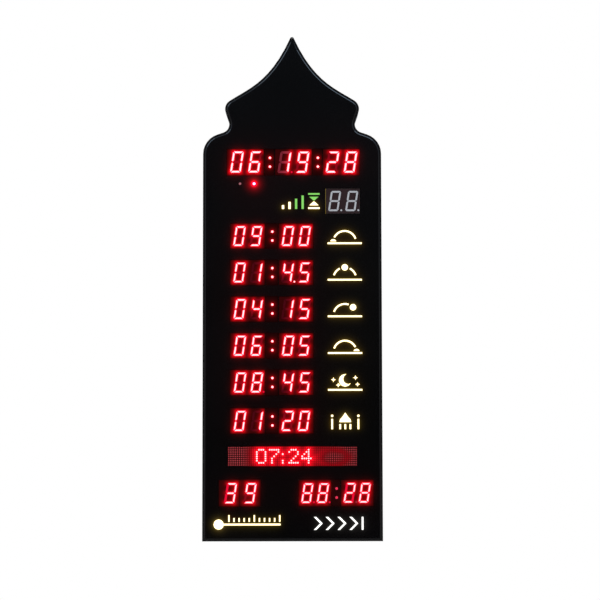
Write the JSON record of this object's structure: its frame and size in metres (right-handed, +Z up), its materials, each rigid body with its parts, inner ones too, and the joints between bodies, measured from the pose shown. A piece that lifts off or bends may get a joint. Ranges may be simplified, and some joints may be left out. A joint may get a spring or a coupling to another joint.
{
  "type": "azan clock",
  "caption": "Tall flat wall clock with an onion-domed top, rows of seven-segment LED modules, a dot matrix line, glowing legend symbols and side rocker switches.",
  "frame": {"origin": "on the wall plane, at the middle of the hanger rail's back face, midway between the two keyholes", "axes": "+X to the clock's right as seen from the front, +Y into the wall, so the face looks along -Y, +Z up towards the dome's tip"},
  "size_m": [0.335, 0.04, 0.943],
  "materials": {
    "casing": "satin black",
    "face_acrylic": "polished black acrylic with a bevelled edge",
    "rear_cover": "fine grained black sheet",
    "hanger_steel": "zinc plated",
    "screw_steel": "zinc plated",
    "red_display": "red-lit display face",
    "grey_display": "unlit display face",
    "matrix_display": "dot matrix face",
    "colon_plate": "dark plate with two lit dots a row",
    "red_lamp": "clear red lamp",
    "milk_diffuser": "milky light diffuser",
    "circuit_board": "green solder mask",
    "black_plastic": "moulded black",
    "rocker_plastic": "glossy black",
    "button_plastic": "moulded black",
    "cell_steel": "bright steel",
    "ribbon": "grey flat cable",
    "speaker_metal": "black painted steel",
    "speaker_paper": "pressed paper cone"
  },
  "bodies": {
    "casing": {"left_band": "casing", "right_band": "casing", "bottom_rail": "casing", "front_panel": "face_acrylic", "rear_cover": "rear_cover", "hanger_rail": "hanger_steel", "cover_screw_1": "screw_steel", "cover_screw_2": "screw_steel", "cover_screw_3": "screw_steel", "cover_screw_4": "screw_steel", "main_hours_module": "red_display", "main_minutes_module": "red_display", "main_seconds_module": "red_display", "remaining_module": "grey_display", "prayer_1_hours_module": "red_display", "prayer_1_minutes_module": "red_display", "prayer_2_hours_module": "red_display", "prayer_2_minutes_module": "red_display", "prayer_3_hours_module": "red_display", "prayer_3_minutes_module": "red_display", "prayer_4_hours_module": "red_display", "prayer_4_minutes_module": "red_display", "prayer_5_hours_module": "red_display", "prayer_5_minutes_module": "red_display", "prayer_6_hours_module": "red_display", "prayer_6_minutes_module": "red_display", "temperature_module": "red_display", "end_hours_module": "red_display", "end_minutes_module": "red_display", "dot_matrix_display": "matrix_display", "indicator_lamp_1": "red_lamp", "indicator_lamp_2": "red_lamp", "main_colon_1": "colon_plate", "main_colon_2": "colon_plate", "end_colon": "colon_plate", "prayer_colon_strip": "colon_plate", "legend_light_prayers": "milk_diffuser", "legend_light_remaining": "milk_diffuser", "legend_light_temperature": "milk_diffuser", "legend_light_end": "milk_diffuser", "display_board_top": "circuit_board", "display_board_prayers": "circuit_board", "display_board_bottom": "circuit_board", "controller_board": "circuit_board", "coin_cell_holder": "black_plastic", "coin_cell": "cell_steel", "ribbon_cable_lower": "ribbon", "ribbon_cable_upper": "ribbon", "speaker_frame": "speaker_metal", "speaker_cone": "speaker_paper", "button_board": "circuit_board", "power_inlet": "black_plastic", "power_switch_housing": "black_plastic", "speaker_switch_housing": "black_plastic"},
    "power_rocker": {"power_switch_rocker": "rocker_plastic"},
    "speaker_rocker": {"speaker_switch_rocker": "rocker_plastic"},
    "button_1": {"setting_button_1": "button_plastic"},
    "button_2": {"setting_button_2": "button_plastic"},
    "button_3": {"setting_button_3": "button_plastic"},
    "button_4": {"setting_button_4": "button_plastic"}
  },
  "joints": [
    {"name": "power_switch", "type": "hinge", "parent": "casing", "child": "power_rocker", "pos_m": [0.162, -0.022, -0.4823], "axis": [0, 1, 0], "range_deg": [0, 14]},
    {"name": "speaker_switch", "type": "hinge", "parent": "casing", "child": "speaker_rocker", "pos_m": [0.162, -0.022, -0.4618], "axis": [0, 1, 0], "range_deg": [0, 14]},
    {"name": "button_press_1", "type": "slide", "parent": "casing", "child": "button_1", "axis": [0, -1, 0], "range_m": [0, 0.001], "stiffness_N_per_m": 250},
    {"name": "button_press_2", "type": "slide", "parent": "casing", "child": "button_2", "axis": [0, -1, 0], "range_m": [0, 0.001], "stiffness_N_per_m": 250},
    {"name": "button_press_3", "type": "slide", "parent": "casing", "child": "button_3", "axis": [0, -1, 0], "range_m": [0, 0.001], "stiffness_N_per_m": 250},
    {"name": "button_press_4", "type": "slide", "parent": "casing", "child": "button_4", "axis": [0, -1, 0], "range_m": [0, 0.001], "stiffness_N_per_m": 250}
  ]
}
